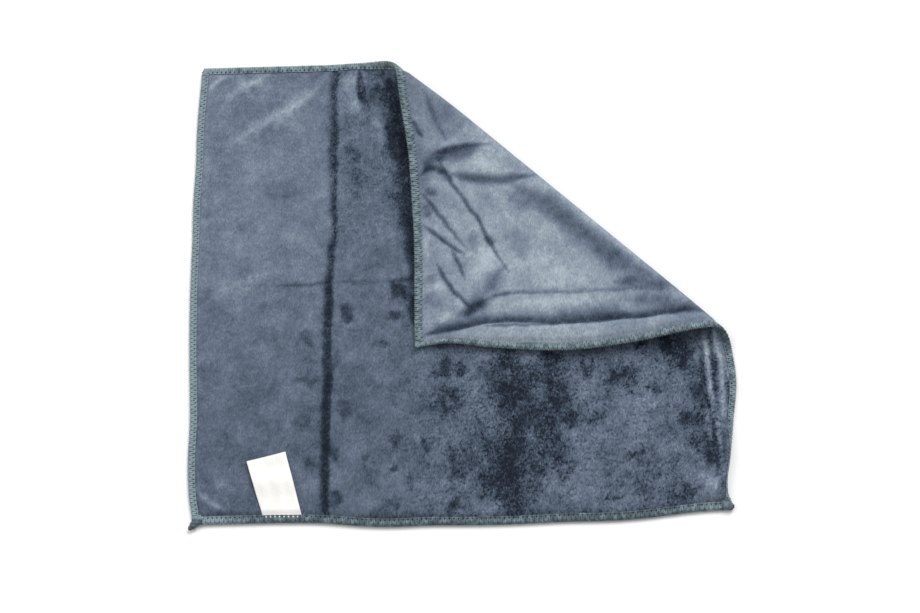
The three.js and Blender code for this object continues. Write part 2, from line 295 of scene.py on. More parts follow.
def rolled_edge(u, v, height):
    """How far points near the right edge move across, and how far up or down, as it rolls."""
    inset = cloth_width / 2 - u
    roll = np.radians(np.interp(v, edge_roll_places, edge_roll_turns))
    start = np.maximum(edge_roll_start - inset, 0.0)
    angle = np.minimum(start / edge_roll_radius, roll)
    straight = start - edge_roll_radius * angle
    across = edge_roll_radius * np.sin(angle) + straight * np.cos(angle) - start
    drop = edge_roll_radius * (1.0 - np.cos(angle)) + straight * np.sin(angle)
    full = edge_roll_radius * (1.0 - np.cos(roll))
    full = full + (edge_roll_start - edge_roll_radius * roll) * np.sin(roll)
    lift = np.maximum(full - edge_roll_free_drop, 0.0) * ramp(inset, edge_roll_lift_reach, 0.0)
    return across + height * np.sin(angle), lift - drop + height * (np.cos(angle) - 1.0)


def past_fold(u, v):
    return (u - fold_start[0]) * fold_normal[0] + (v - fold_start[1]) * fold_normal[1]


def fold_places(u, v):
    """How far points lie past the start of the roll, and how much wider the roll is there."""
    along = (u - fold_start[0]) * fold_along[0] + (v - fold_start[1]) * fold_along[1]
    wider = roll_at_far_edge[0] * ramp(along, roll_at_far_edge[1], 0.0)
    wider = wider + roll_at_right_edge[0] * ramp(fold_length - along, roll_at_right_edge[1], 0.0)
    return past_fold(u, v), wider


# Lifts of the panel and of the corner die out towards the fold, over these lengths.
panel_lift_fade = 30.0
corner_lift_fade = 25.0


def lay(u, v, height):
    """Where points of the flat cloth lie with the corner turned over; height is measured from the
    middle of the fabric towards its face. All in mm."""
    roll_across, roll_lift = rolled_edge(u, v, height)
    u, v = bowed(u, v)
    past, wider = fold_places(u, v)
    radius = fold_radius + wider
    turned = np.maximum(past + roll_set_back * wider, 0.0)
    angle = np.minimum(turned / radius, turn)
    beyond = np.maximum(turned - radius * turn, 0.0)
    shift = radius * np.sin(angle) + beyond * np.cos(angle) - turned
    rise = radius * (1.0 - np.cos(angle)) + beyond * np.sin(angle)
    x, y = u + shift * fold_normal[0], v + shift * fold_normal[1]
    plan_x, plan_y = x - cloth_skew * y, y - cloth_skew * x
    off = height + panel_lift(plan_x, plan_y) * ramp(past, 0.0, -panel_lift_fade) + roll_lift
    off = off - corner_lift(plan_x, plan_y) * ramp(beyond, 0.0, corner_lift_fade)
    x = x - off * np.sin(angle) * fold_normal[0] + roll_across * np.cos(angle)
    y = y - off * np.sin(angle) * fold_normal[1]
    return np.stack([x, y, pile_half + rise + off * np.cos(angle)], axis=-1)


def coordinates(piece):
    flat = np.empty(len(piece.data.vertices) * 3)
    piece.data.vertices.foreach_get("co", flat)
    return flat.reshape(-1, 3) / MM


def set_coordinates(piece, places):
    piece.data.vertices.foreach_set("co", np.ascontiguousarray(places * MM, np.float32).ravel())
    piece.data.update()


def set_attribute(piece, name, values):
    layer = piece.data.attributes.new(name, "FLOAT", "POINT")
    layer.data.foreach_set("value", values.astype(np.float32))


# The pieces on the cloth bend with it where the corner turns, from a little before the roll to a
# little after it.
hinge_places = {joint["name"]: joint["pos_m"] for joint in frame["joints"]}
blend_margin = 4.0


def blend_over_fold(piece):
    """Called while the piece is still flat: it follows the panel before the roll, the corner after
    it, and a share of the corner's turn between. A corner that lies high turns less, so that it
    comes to rest on the table."""
    flat = coordinates(piece)
    past, wider = fold_places(*bowed(flat[:, 0], flat[:, 1]))
    rolled = past + roll_set_back * wider
    share = ramp(rolled, -blend_margin, (fold_radius + wider) * turn + blend_margin)
    hinge = np.array(hinge_places["corner_fold"]) / MM
    arm = lay(flat[:, 0], flat[:, 1], 0.0) - hinge
    reach = -(arm[:, :2] @ fold_normal)
    drop = hinge[2] - pile_half
    touching = np.arcsin(np.minimum(drop / np.hypot(reach, arm[:, 2]), 1.0))
    short = np.maximum(np.arctan2(arm[:, 2], reach) - touching, 0.0)
    share = share * (1.0 - short / math.pi)
    # The blend eases along a line of one metre. For a moment each point is set on that line, where
    # the easing gives it its share.
    step = 0.5 - np.sin(np.arcsin(1.0 - 2.0 * share) / 3.0)
    set_coordinates(piece, np.outer(step / MM, [1.0, 0.0, 0.0]))
    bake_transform(piece)
    set_coordinates(piece, flat)


def new_grid(name, across, along):
    bpy.ops.object.select_all(action="DESELECT")
    bpy.ops.mesh.primitive_grid_add(x_subdivisions=across, y_subdivisions=along, size=1.0)
    bpy.context.object.name = name
    return bpy.context.object


def thicken(piece, thickness):
    wall = piece.modifiers.new("thickness", "SOLIDIFY")
    wall.thickness = thickness * MM
    wall.offset = 0.0
    bpy.ops.object.modifier_apply(modifier=wall.name)


# A coarse grid with two faces, then cut finer wherever it shows: the whole face, and the back on the
# turned corner and round the roll.
sheet_width = cloth_width - 2 * raw_edge
sheet_depth = cloth_depth - 2 * raw_edge
cells_across = 92
cells_along = 87
finer_cuts = 2
roll_margin = 18.0
cloth = new_grid("plush_cloth", cells_across, cells_along)
bpy.ops.object.mode_set(mode="EDIT")
bpy.ops.transform.resize(value=(sheet_width * MM, sheet_depth * MM, 1.0))
bpy.ops.object.mode_set(mode="OBJECT")
thicken(cloth, 2 * pile_half)
bpy.ops.object.mode_set(mode="EDIT")
bpy.ops.mesh.select_mode(type="FACE")
bpy.ops.mesh.select_all(action="DESELECT")
bpy.ops.object.mode_set(mode="OBJECT")
for polygon in cloth.data.polygons:
    u, v, height = polygon.center / MM
    shows = height > 0 or past_fold(u, v) > -roll_margin
    polygon.select = bool(shows and abs(polygon.normal.z) > 0.5)
bpy.ops.object.mode_set(mode="EDIT")
bpy.ops.mesh.subdivide(number_cuts=finer_cuts)
bpy.ops.object.mode_set(mode="OBJECT")
bpy.ops.object.shade_smooth()
blend_over_fold(cloth)

# The fabric is squeezed to a thin tongue inside the hem. The face shows up to the fold, and the back
# beyond it, with a soft change between.
face_change = 14.0
flat = coordinates(cloth)
u, v = flat[:, 0], flat[:, 1]
side = np.sign(flat[:, 2])
inset = np.minimum.reduce([
    (cloth_width / 2 + u) / hem_share("left", v),
    (cloth_width / 2 - u) / hem_share("right", v),
    (cloth_depth / 2 + v) / hem_share("near", u),
    (cloth_depth / 2 - v) / hem_share("far", u),
])
inside = ramp(inset, hem_width, hem_width + pile_shoulder)
half = tongue_half + (pile_half - tongue_half) * inside
laid = lay(u, v, side * half)
x, y = laid[:, 0] - cloth_skew * laid[:, 1], laid[:, 1] - cloth_skew * laid[:, 0]
turned_over = ramp(past_fold(u, v), 0.0, face_change)
on_face = (side > 0) * (1.0 - turned_over)
on_corner = (side < 0) * turned_over

# The packing creases: the pile lies open along one fold line, more softly on its left side, and is dented
# along another. The open pile is drawn dark, partly as its own deep tone and partly as painted shade in
# the groove; the dent has painted shade.
quarter_crease = [(-96, 186), (-96, 106), (-96, 72), (-95, 46), (-97, 30), (-99, 0), (-99, -92),
                  (-100, -138), (-100, -166), (-99, -190)]
crease_places = [-190, -150, -60, -10, 20, 45, 65, 100, 150, 186]
crease_widths = [1.9, 2.3, 2.2, 2.4, 2.2, 1.8, 2.0, 2.7, 2.7, 2.2]
crease_darkness = [0.80, 0.95, 0.90, 0.70, 0.50, 0.36, 0.32, 0.42, 0.40, 0.22]
left_softness = 1.35
right_softness = 0.75
crease_x, crease_y = np.array(quarter_crease[::-1], float).T
crease_away = x - np.interp(y, crease_y, crease_x)
crease_away = crease_away + 0.6 * hills(x, y, 16.0, 11) + 0.5 * hills(x, y, 3.0, 12)
crease_width = np.interp(y, crease_places, crease_widths)
crease_width = crease_width * np.where(crease_away < 0, left_softness, right_softness)
quarter = np.exp(-((crease_away / crease_width) ** 2))
level_crease = [(-186, 3), (-135, 0), (-108, 1), (-93, 2), (-57, 2), (-36, 3)]
level_width = 1.5
level_end = -30.0
level_places = [-190, -140, -128, -108, -98, -60, -34]
level_depths = [0.0, 0.2, 1.0, 1.0, 0.4, 0.5, 0.9]
level_away = above_line(x, y + 0.5 * hills(x, y, 5.0, 13), level_crease)
level = np.exp(-((level_away / level_width) ** 2)) * (x < level_end)
level = level * np.interp(x, level_places, level_depths)

# Brush marks in the pile of the face, in the plan: a line, its width, and how much darker (below 0) or
# lighter the pile looks there. Among them are painted highlights on the ridges by the left edge and at
# the near right corner, and painted shadow beside the left hem of the turned corner.
brush_marks_and_painted_light = [
    # Painted highlights along the ridges that the hem pulls into the panel.
    ([(-196, 168), (-192, 174), (-187, 179), (-180, 183)], 2.6, 0.30),
    ([(-186, 155), (-178, 164), (-168, 171), (-158, 178), (-147, 184)], 3.2, 0.17),
    ([(-178, 167), (-149, 182)], 7, 0.05),
    ([(-183, 122), (-174, 127), (-161, 133), (-152, 139), (-143, 146), (-133, 150), (-124, 156),
      (-115, 163), (-108, 172), (-104, 180)], 3.2, 0.11),
    ([(-183, 122), (-152, 139), (-124, 156), (-104, 180)], 6, 0.06),
    ([(-190, -12), (-170, 1), (-148, 8)], 6, 0.12),
    ([(-196, -164), (-190, -170), (-183, -176), (-175, -180)], 2.2, 0.26),
    ([(-186, -156), (-179, -158), (-173, -161)], 4, 0.10),
    # Brush marks in the pile.
    ([(-179, 145), (-168, 156), (-154, 167)], 8, -0.06),
    ([(-149, 154), (-136, 162)], 7, -0.06),
    ([(-95, 183), (-93, 180)], 2.4, -0.30),
    ([(-140, 95), (-128, 70)], 14, -0.05),
    ([(-91, 180), (-86, 176), (-83, 167), (-81, 154), (-75, 144)], 4.5, 0.22),
    ([(-66, 140), (-60, 127), (-56, 118)], 5, 0.15),
    # Dark pile and painted shadow beside the left hem of the turned corner.
    ([(-77, 186), (-78, 173), (-77, 162), (-73, 153)], 1.5, -0.62),
    ([(-75, 175), (-73, 159), (-69, 150)], 1.2, -0.34),
    ([(-78, 186), (-56, 187)], 2.4, -0.40),
    ([(-70, 178), (-66, 158), (-60, 146)], 7, -0.07),
    ([(-58, 176), (-57, 152)], 6, -0.17),
    ([(-70, 183), (-52, 184)], 5, -0.16),
    ([(-68, 172), (-58, 162), (-50, 146)], 9, -0.20),
    ([(-53, 174), (-50, 157), (-48, 133), (-45, 113), (-42, 87), (-39, 66)], 6.5, -0.50),
    ([(-52, 140), (-49, 105)], 6, -0.20),
    ([(-42, 100), (-39, 70), (-36, 36), (-35, 4)], 7, -0.42),
    # Brush marks in the pile.
    ([(-90, 121), (-83, 115), (-78, 106)], 4.5, -0.12),
    ([(-83, 103), (-75, 87), (-79, 75)], 5, -0.09),
    ([(-56, 79), (-50, 66)], 5, -0.14),
    ([(-91, -19), (-82, -26)], 5, -0.24),
    ([(-51, 0), (-36, -9)], 6, -0.28),
    ([(-54, -24), (-44, -29)], 3, -0.18),
    # Painted shadow beside the tip of the turned corner.
    ([(-35, -6), (-33, -43)], 6, -0.36),
    # Brush marks in the pile.
    ([(36, -56), (44, -92), (42, -136), (40, -184)], 24, -0.17),
    ([(72, -58), (75, -122)], 17, -0.11),
    ([(22, -136), (54, -128)], 15, -0.09),
    ([(67, -122), (66, -158)], 16, -0.08),
    ([(35, -152), (37, -188)], 14, -0.10),
    ([(14, -130), (20, -170)], 14, -0.05),
    ([(-66, -40), (-62, -170)], 26, -0.03),
    ([(-196, 180), (-100, 183)], 5, -0.05),
    ([(-12, -70), (-8, -180)], 26, -0.03),
    ([(98, -70), (160, -84)], 18, -0.05),
    ([(-16, -66), (0, -104)], 15, -0.06),
    ([(-14, -134), (4, -176)], 16, -0.05),
    ([(130, -150), (168, -176)], 20, -0.05),
    ([(176, -64), (188, -150)], 12, -0.08),
    ([(-124, -42), (-112, -48)], 4.5, -0.13),
    ([(-130, -76), (-104, -80)], 3, -0.10),
    ([(-126, -108), (-112, -116)], 6, -0.10),
    ([(-118, -140), (-106, -152)], 5, -0.16),
    ([(-95, -55), (-93, -73)], 4, -0.16),
    ([(-89, -96), (-86, -111)], 5, -0.13),
    ([(-94, -127), (-91, -141)], 5, -0.16),
    ([(-73, -140), (-69, -144)], 2.5, -0.16),
    ([(-50, -149), (-49, -155)], 2.5, -0.30),
    ([(-39, -157), (-36, -167)], 4, -0.10),
    ([(-53, -122), (-42, -125)], 5, -0.12),
    ([(-66, -48), (-57, -50)], 4, -0.14),
    ([(-97, -171), (-89, -181)], 4, -0.22),
    ([(-67, -182), (-45, -184)], 5, -0.10),
    ([(-10, -65), (-11, -81)], 4, -0.30),
    ([(1, -67), (1, -79)], 3.5, -0.28),
    ([(-19, -73), (-18, -80)], 2.5, -0.20),
    ([(-6, -84), (-4, -95)], 5, -0.20),
    ([(30, -59), (35, -77)], 8, -0.30),
    ([(40, -60), (41, -76)], 4, -0.22),
    ([(34, -86), (45, -91), (52, -96)], 8, -0.40),
    ([(30, -97), (41, -100)], 5, -0.22),
    ([(69, -59), (69, -75)], 7, -0.34),
    ([(69, -77), (72, -93), (77, -106)], 6, -0.34),
    ([(79, -109), (88, -120)], 4.5, -0.30),
    ([(60, -119), (75, -122)], 7, -0.34),
    ([(46, -119), (41, -131), (35, -137)], 7, -0.32),
    ([(42, -131), (38, -145)], 8, -0.30),
    ([(19, -130), (26, -140)], 4.5, -0.28),
    ([(32, -139), (38, -155), (40, -171)], 5, -0.26),
    ([(-8, -133), (-6, -150)], 3, -0.34),
    ([(-26, -130), (-20, -136)], 4, -0.24),
    ([(57, -140), (60, -162)], 5.5, -0.24),
    ([(76, -129), (76, -164)], 6, -0.24),
    ([(84, -147), (84, -159)], 2, -0.22),
    ([(41, -152), (44, -191)], 6, -0.26),
    ([(29, -155), (27, -186)], 8, -0.14),
    ([(91, -69), (99, -79)], 5, -0.26),
    ([(97, -112), (106, -120)], 4, -0.20),
    ([(-10, -153), (1, -162)], 5, -0.12),
    ([(-24, -100), (-4, -109)], 6, -0.13),
    ([(-6, -174), (-6, -189)], 4, -0.13),
    ([(131, -54), (141, -58)], 4, -0.30),
    ([(150, -54), (166, -62), (183, -61)], 7, -0.42),
    ([(111, -83), (120, -91)], 4, -0.28),
    ([(130, -74), (126, -85), (131, -95)], 5, -0.18),
    ([(136, -92), (152, -97)], 4, -0.16),
    ([(92, -118), (103, -115)], 2.5, -0.20),
    ([(165, -110), (173, -117), (182, -119)], 5, -0.34),
    ([(171, -91), (183, -98)], 4.5, -0.30),
    ([(164, -65), (173, -74)], 4.5, -0.30),
    ([(174, -130), (185, -144)], 4.5, -0.16),
    ([(123, -143), (137, -150)], 4.5, -0.14),
    ([(145, -157), (150, -163)], 3, -0.20),
    ([(159, -143), (159, -160)], 3.5, -0.14),
    ([(174, -172), (165, -180)], 4, -0.34),
    ([(151, -179), (170, -181)], 2.5, -0.22),
    ([(130, -166), (137, -178)], 5, -0.13),
    ([(113, -172), (108, -179), (120, -180)], 1.5, -0.24),
    ([(7, -107), (22, -122)], 12, 0.05),
    ([(-23, -149), (-17, -177)], 10, 0.05),
    ([(86, -92), (105, -107)], 12, 0.09),
    ([(89, -156), (103, -181)], 12, 0.05),
    ([(133, -98), (150, -112)], 9, 0.07),
    ([(136, -69), (149, -86)], 9, 0.09),
    # A painted highlight at the near right corner.
    ([(180, -175), (186, -171), (192, -165)], 5, 0.24),
    # Streaks of the pile along the rolled right edge.
    ([(184, -40), (185, -52), (187, -66), (188, -94), (189, -118)], 2.2, 0.34),
    ([(192, -42), (193, -53), (195, -64), (198, -76)], 2.0, 0.34),
    ([(190, -44), (190, -63), (191, -74), (192, -86)], 1.6, -0.26),
    ([(199, -64), (202, -83), (201, -136)], 2.0, 0.16),
    ([(184, -106), (186, -126), (187, -140)], 1.9, 0.24),
    ([(189, -107), (193, -129), (193, -150)], 1.9, 0.24),
    ([(188, -88), (190, -104)], 1.8, 0.14),
    ([(183, -58), (182, -80), (183, -100)], 1.8, -0.20),
    ([(190, -59), (191, -81), (192, -102)], 2.2, -0.28),
    ([(200, -80), (202, -97), (202, -123)], 2.0, -0.18),
    ([(197, -66), (197, -90), (197, -112), (196, -128)], 1.9, 0.30),
    ([(183, -96), (188, -111), (190, -128)], 2.2, -0.30),
    ([(180, -105), (182, -122)], 2.2, -0.24),
    ([(189, -128), (190, -145), (191, -163)], 2.2, -0.26),
    ([(185, -135), (186, -159)], 2.4, -0.18),
    ([(196, -129), (197, -157)], 2.2, -0.12),
]

# The tone of the pile of the face, with the painted light and shade of the marks. Wide marks have frayed
# rims, long along the nap. The left of the panel is paler, most at its far end, and the pile beside the
# near hem has painted shade.
face_tone = 0.49
deep_tone = 0.06
mark_gain = 4.4
light_loss = 1.2
left_light = 0.15
level_painted_shade = 0.16
streak_strength = 0.6
near_shade = 0.06
near_shade_start = 6.0
near_shade_reach = 2.5
fray_x = 2.5 * hills(x, 0.5 * y, 13.0, 21) + 2.6 * hills(x, 0.4 * y, 4.0, 22)
fray_y = 4.0 * hills(x, 0.5 * y, 13.0, 23) + 5.0 * hills(x, 0.4 * y, 4.0, 24)
streaks = 0.5 * hills(x + 0.25 * y, 0.35 * y, 7.0, 27) + 0.5 * hills(x + 0.25 * y, 0.35 * y, 3.0, 28)
brightened = left_light * ramp(x, -70.0, -130.0) * (ramp(y, -120.0, 70.0) - 0.15)
broken = 1.0 + 0.35 * hills(x, y, 5.0, 30) + 0.35 * hills(x, y, 14.0, 31)
# Painted shade in the packing creases, partly the dark open pile.
darkened = quarter * np.interp(y, crease_places, crease_darkness) * broken + level_painted_shade * level
for points, width, strength in brush_marks_and_painted_light:
    loose = ramp(width, 2.0, 5.0)
    stroke = line_at(x + loose * fray_x, y + loose * fray_y, points, width)
    brightened = brightened + max(strength, 0.0) * stroke
    darkened = darkened + max(-strength, 0.0) * stroke
darkened = darkened * (1.0 + streak_strength * streaks * ramp(x, -90.0, -50.0))
beside_hem = np.exp(-np.maximum(inset - near_shade_start, 0.0) / near_shade_reach)
darkened = darkened + near_shade * ramp(y, -165.0, -175.0) * beside_hem
nap = deep_tone + (face_tone - deep_tone) * np.exp(-mark_gain * darkened)
nap = nap + brightened * np.exp(-light_loss * darkened)

# The tone of the pile of the back, on the turned corner: pale, a little less so towards its three ends,
# with painted highlights where it catches the light, and painted shade in its wrinkles and along the
# pressed line, deepest above the tuck. Along the seam both faces are darkened with painted shade.
corner_tone = 0.83
wrinkle_gain = 2.2
tuck_painted_shade = 0.62
tuck_rim = 0.8
press_painted_shade = 0.16
press_shade_width = 1.4
seam_painted_shade_tone = 0.5
bent_x, bent_y = x + 0.7 * hills(x, y, 6.0, 25), y + 0.7 * hills(x, y, 6.0, 26)
corner_bright = -0.12 * ramp(x, 90.0, 180.0) - 0.10 * ramp(y, 110.0, 150.0) - 0.07 * ramp(x, 20.0, -20.0)
corner_painted_shade = 0.0
for points, width, _, wrinkle_shade in corner_wrinkles:
    corner_painted_shade = corner_painted_shade + wrinkle_shade * line_at(bent_x, bent_y, points, width)
corner_painted_shade = corner_painted_shade * (1.0 + 0.35 * hills(x, y, 8.0, 29))
for points, width, lighter in corner_lights:
    corner_bright = corner_bright + lighter * line_at(bent_x, bent_y, points, width)
above = above_line(bent_x, bent_y, tuck_line)
shade_places = [-30, 10, 40, 70, 90, 110, 125, 140, 160, 190]
shade_reaches = [5, 6, 4, 6, 9, 8, 4, 4, 6, 5]
shade_reach = np.interp(x, shade_places, shade_reaches)
shade = np.where(above > 0, np.exp(-((above / shade_reach) ** 2)), np.exp(above / tuck_rim))
# Painted shade above the tuck and along the pressed line.
corner_painted_shade = corner_painted_shade + tuck_painted_shade * tuck_share(x) * shade
corner_painted_shade = corner_painted_shade + press_painted_shade * line_at(bent_x, bent_y, press_line, press_shade_width)
back_nap = deep_tone + (corner_tone + corner_bright - deep_tone) * np.exp(-wrinkle_gain * corner_painted_shade)
nap = np.where(side > 0, nap, face_tone + on_corner * (back_nap - face_tone))
# Painted shade between the threads of the hem, on both faces.
nap = nap * (seam_painted_shade_tone + (1.0 - seam_painted_shade_tone) * ramp(inset, 3.6, 4.8))

# Fluffy pile shows more of its locks and stands in low tufts: most where its tone is drawn darker, near
# the right and beside the turned corner, least on the left. The creases are pressed into it.
quarter_depth = 1.1
level_depth = 0.5
rubbed = ramp(x, -85.0, 25.0) * ramp(y, 60.0, -50.0)
rubbed = np.maximum(rubbed, 0.55 * ramp(x, -100.0, -88.0) * ramp(y, 10.0, 60.0))
rubbed = rubbed * (0.35 + 0.8 * (1.0 - np.exp(-4.0 * darkened)))
fluff = on_face * np.clip(0.06 + rubbed + 0.5 * quarter, 0.0, 1.0)
tufts = 0.30 * hills(u, v, 4.6, 3) + 0.30 * hills(u + 0.4 * v, v, 9.0, 4) + 0.3 * hills(u, v, 22.0, 5)
relief = inside * (0.10 + 0.9 * fluff) * tufts
relief = relief - on_face * inside * (quarter_depth * quarter + level_depth * level)
set_coordinates(cloth, lay(u, v, side * (half + relief)))
set_attribute(cloth, "nap", nap)
set_attribute(cloth, "fluff", fluff)

# Two maps: the grain of the pile in metres, which on the back runs across that of the face, and one
# with the face and the back side by side, each with a margin.
map_margin = 0.01
corners = np.empty(len(cloth.data.loops), int)
cloth.data.loops.foreach_get("vertex_index", corners)
starts = np.empty(len(cloth.data.polygons), int)
cloth.data.polygons.foreach_get("loop_start", starts)
totals = np.diff(np.append(starts, len(corners)))
is_back = np.repeat(np.maximum.reduceat(side[corners], starts) < 0, totals)
spread = flat[corners, :2] / np.array([cloth_width, cloth_depth]) + 0.5
half_across = map_margin + (0.5 - 2 * map_margin) * spread[:, 0] + 0.5 * is_back
half_along = map_margin + (1.0 - 2 * map_margin) * spread[:, 1]
halves = np.stack([half_across, half_along], axis=1)
cloth.data.uv_layers.remove(cloth.data.uv_layers[0])
grain = np.where(is_back[:, None], flat[corners, 1::-1], flat[corners, :2]) * MM
for name, places in (("grain", grain), ("OFBake", halves)):
    layer = cloth.data.uv_layers.new(name=name)
    layer.data.foreach_set("uv", places.astype(np.float32).ravel())
cloth.data.uv_layers.active = cloth.data.uv_layers["grain"]


def linear(hex_colour):
    """A linear colour from an sRGB hex value."""
    shares = [int(hex_colour[i : i + 2], 16) / 255 for i in (1, 3, 5)]
    return [s / 12.92 if s <= 0.04045 else ((s + 0.055) / 1.055) ** 2.4 for s in shares] + [1.0]


def node(tree, kind, links=None, stops=(), **settings):
    """Adds a node; links gives its sockets values or other nodes' outputs, by label or number, and
    stops the places and colours of a colour band."""
    made = tree.nodes.new("ShaderNode" + kind)
    for key, value in settings.items():
        setattr(made, key, value)
    for socket, value in (links or {}).items():
        if isinstance(value, bpy.types.NodeSocket):
            tree.links.new(value, made.inputs[socket])
        else:
            made.inputs[socket].default_value = value
    for number, (place, colour) in enumerate(stops):
        band = made.color_ramp.elements
        element = band[number] if number < len(band) else band.new(place)
        element.position = place
        element.color = linear(colour)
    return made


def new_material(name, sockets):
    material = bpy.data.materials.new(name)
    material.use_nodes = True
    shader = material.node_tree.nodes["Principled BSDF"]
    for socket, value in sockets.items():
        shader.inputs[socket].default_value = value
    return material, material.node_tree, shader


def link_looks(tree, shader, colour, relief):
    tree.links.new(colour.outputs["Color"], shader.inputs["Base Color"])
    tree.links.new(relief.outputs["Normal"], shader.inputs["Normal"])


# Microfiber plush: split polyester and polyamide filaments, sheared to a cut pile. It has no gloss
# of its own; where the pile stands open it looks dark and deep, and where it is brushed flat it
# shows the flanks of its fibres and looks pale, in patches with frayed rims. Single fibres are too
# fine to show, so the finest pattern is that of the locks into which they gather.
plush, tree, shader = new_material("sheared_microfiber_plush", {
    "Roughness": 0.9,
    "Specular IOR Level": 0.12,
    "Sheen Weight": 0.18,
    "Sheen Roughness": 0.5,
    "Sheen Tint": linear("#c3cedc"),
})
lock_width = 1.1
lock_length = 2.3
clump_size = 4.5
pit_size = 2.4
patch_size = 24.0
swirl_size = 32.0
swirl_reach = 10.0
lock_lean = math.radians(-28)
clump_lean = math.radians(-14)
clump_stretch = 0.7
lock_relief = 0.6
grain_map = node(tree, "UVMap", uv_map="grain").outputs["UV"]
nap_value = node(tree, "Attribute", attribute_name="nap").outputs["Fac"]
fluff_value = node(tree, "Attribute", attribute_name="fluff").outputs["Fac"]
swirl = node(tree, "TexNoise", {"Vector": grain_map, "Scale": 1 / (swirl_size * MM), "Detail": 2.0})
swirl_mid = node(tree, "VectorMath", {0: swirl.outputs["Color"], 1: (0.5, 0.5, 0.5)},
                 operation="SUBTRACT")
swirl_step = node(tree, "VectorMath", {0: swirl_mid.outputs[0], "Scale": swirl_reach * MM},
                  operation="SCALE")
combed = node(tree, "VectorMath", {0: grain_map, 1: swirl_step.outputs[0]}, operation="ADD").outputs[0]
lock_places = node(tree, "Mapping", {
    "Vector": combed,
    "Rotation": (0, 0, lock_lean),
    "Scale": (1 / (lock_width * MM), 1 / (lock_length * MM), 1.0),
}).outputs[0]
locks = node(tree, "TexNoise", {"Vector": lock_places, "Scale": 1.0, "Detail": 2.0, "Roughness": 0.6})
clump_places = node(tree, "Mapping", {
    "Vector": combed,
    "Rotation": (0, 0, clump_lean),
    "Scale": (1 / (clump_size * MM), clump_stretch / (clump_size * MM), 1.0),
}).outputs[0]
clumps = node(tree, "TexNoise", {"Vector": clump_places, "Scale": 1.0, "Detail": 3.0, "Roughness": 0.68})
patches = node(tree, "TexNoise", {
    "Vector": combed, "Scale": 1 / (patch_size * MM), "Detail": 4.0, "Roughness": 0.6})
pits = node(tree, "TexNoise", {
    "Vector": combed, "Scale": 1 / (pit_size * MM), "Detail": 2.0, "Roughness": 0.55})

# Each pattern is added about its middle, at one strength on smooth pile and another on fluffy pile,
# and fluffy pile also has dark pits.
tone = nap_value
for pattern, at_rest, when_fluffy in ((locks, 0.42, 1.0), (clumps, 0.34, 0.80), (patches, 0.50, 0.85)):
    about = node(tree, "Math", {0: pattern.outputs["Fac"], 1: 0.5}, operation="SUBTRACT").outputs[0]
    share = node(tree, "Math", {0: fluff_value, 1: when_fluffy - at_rest, 2: at_rest},
                 operation="MULTIPLY_ADD").outputs[0]
    tone = node(tree, "Math", {0: about, 1: share, 2: tone}, operation="MULTIPLY_ADD").outputs[0]
pit_depth = node(tree, "MapRange", {
    "Value": pits.outputs["Fac"], "From Min": 0.52, "From Max": 0.70, "To Min": 0.05, "To Max": -0.36,
}, interpolation_type="SMOOTHSTEP").outputs[0]
tone = node(tree, "Math", {0: pit_depth, 1: fluff_value, 2: tone}, operation="MULTIPLY_ADD").outputs[0]
pile_colour = node(tree, "ValToRGB", {"Fac": tone}, stops=[
    (0.0, "#141a25"),
    (0.2, "#283240"),
    (0.35, "#414c5b"),
    (0.5, "#586374"),
    (0.65, "#6d7989"),
    (0.8, "#84909d"),
    (1.0, "#a9b4bd"),
])
pile_bump = node(tree, "Bump", {
    "Height": locks.outputs["Fac"], "Distance": lock_relief * MM, "Strength": 0.45})
link_looks(tree, shader, pile_colour, pile_bump)
cloth.data.materials.append(plush)
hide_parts("cloth_panel", "cloth_bend", "cloth_corner")

# The overlock: three textured polyester threads sewn round the raw edge in one go. The needle
# thread runs along the inside, the two loopers lie over and under the edge and lock at its rim.
# A run has its length, and gives the flat place of a point along it and in from the edge.
stitch = 3.4
looper_half = 0.74
thread_flatness = 0.72
needle_half = 0.54
runs = {
    "left": (cloth_depth, lambda along, inset: (inset - cloth_width / 2, along)),
    "near": (cloth_width, lambda along, inset: (along, inset - cloth_depth / 2)),
    "right": (cloth_depth, lambda along, inset: (cloth_width / 2 - inset, along)),
    "far": (cloth_width, lambda along, inset: (along, cloth_depth / 2 - inset)),
}


def painted_thread_light(u, v):
    """Painted light and shade on the thread: paler most on the left edge, less on the far and right ones,
    and not at all on the near one; darker in the knots of the near corners, and painted shade inside the
    roll of the fold."""
    pale = np.maximum(ramp(u, -150.0, -190.0), 0.5 * ramp(u, 150.0, 190.0))
    pale = np.maximum(pale, 0.5 * ramp(v, 150.0, 180.0))
    knots = ramp(np.abs(u), 190.0, 194.0) * ramp(v, -184.0, -188.0)
    in_roll = ramp(u, 150.0, 190.0) * bump((v + 50.0) / 20.0)
    return pale - (pale + 0.3) * np.maximum(knots, in_roll)


strands = 3
strand_turns = 1.5
strand_steps = 16
strand_off = 0.5
strand_half = 0.62


def twisted(loose_end):
    """The strands wound round each other along a loose end, whose places give its half width; how
    far off its middle and how thick they are follows that."""
    loose_end = np.array(loose_end, float)
    steps = np.linspace(0.0, 1.0, strand_steps)
    places = np.linspace(0.0, 1.0, len(loose_end))
    u, v, height, half = [np.interp(steps, places, values) for values in loose_end.T]
    along = np.hypot(np.gradient(u), np.gradient(v))
    side_u, side_v = -np.gradient(v) / along, np.gradient(u) / along
    for strand in range(strands):
        angle = 2 * math.pi * (strand / strands + strand_turns * steps)
        across = strand_off * half * np.cos(angle)
        rise = strand_off * half * np.sin(angle)
        fullness = strand_half * half / looper_half
        yield np.stack([u + across * side_u, v + across * side_v, height + rise, fullness], axis=1)


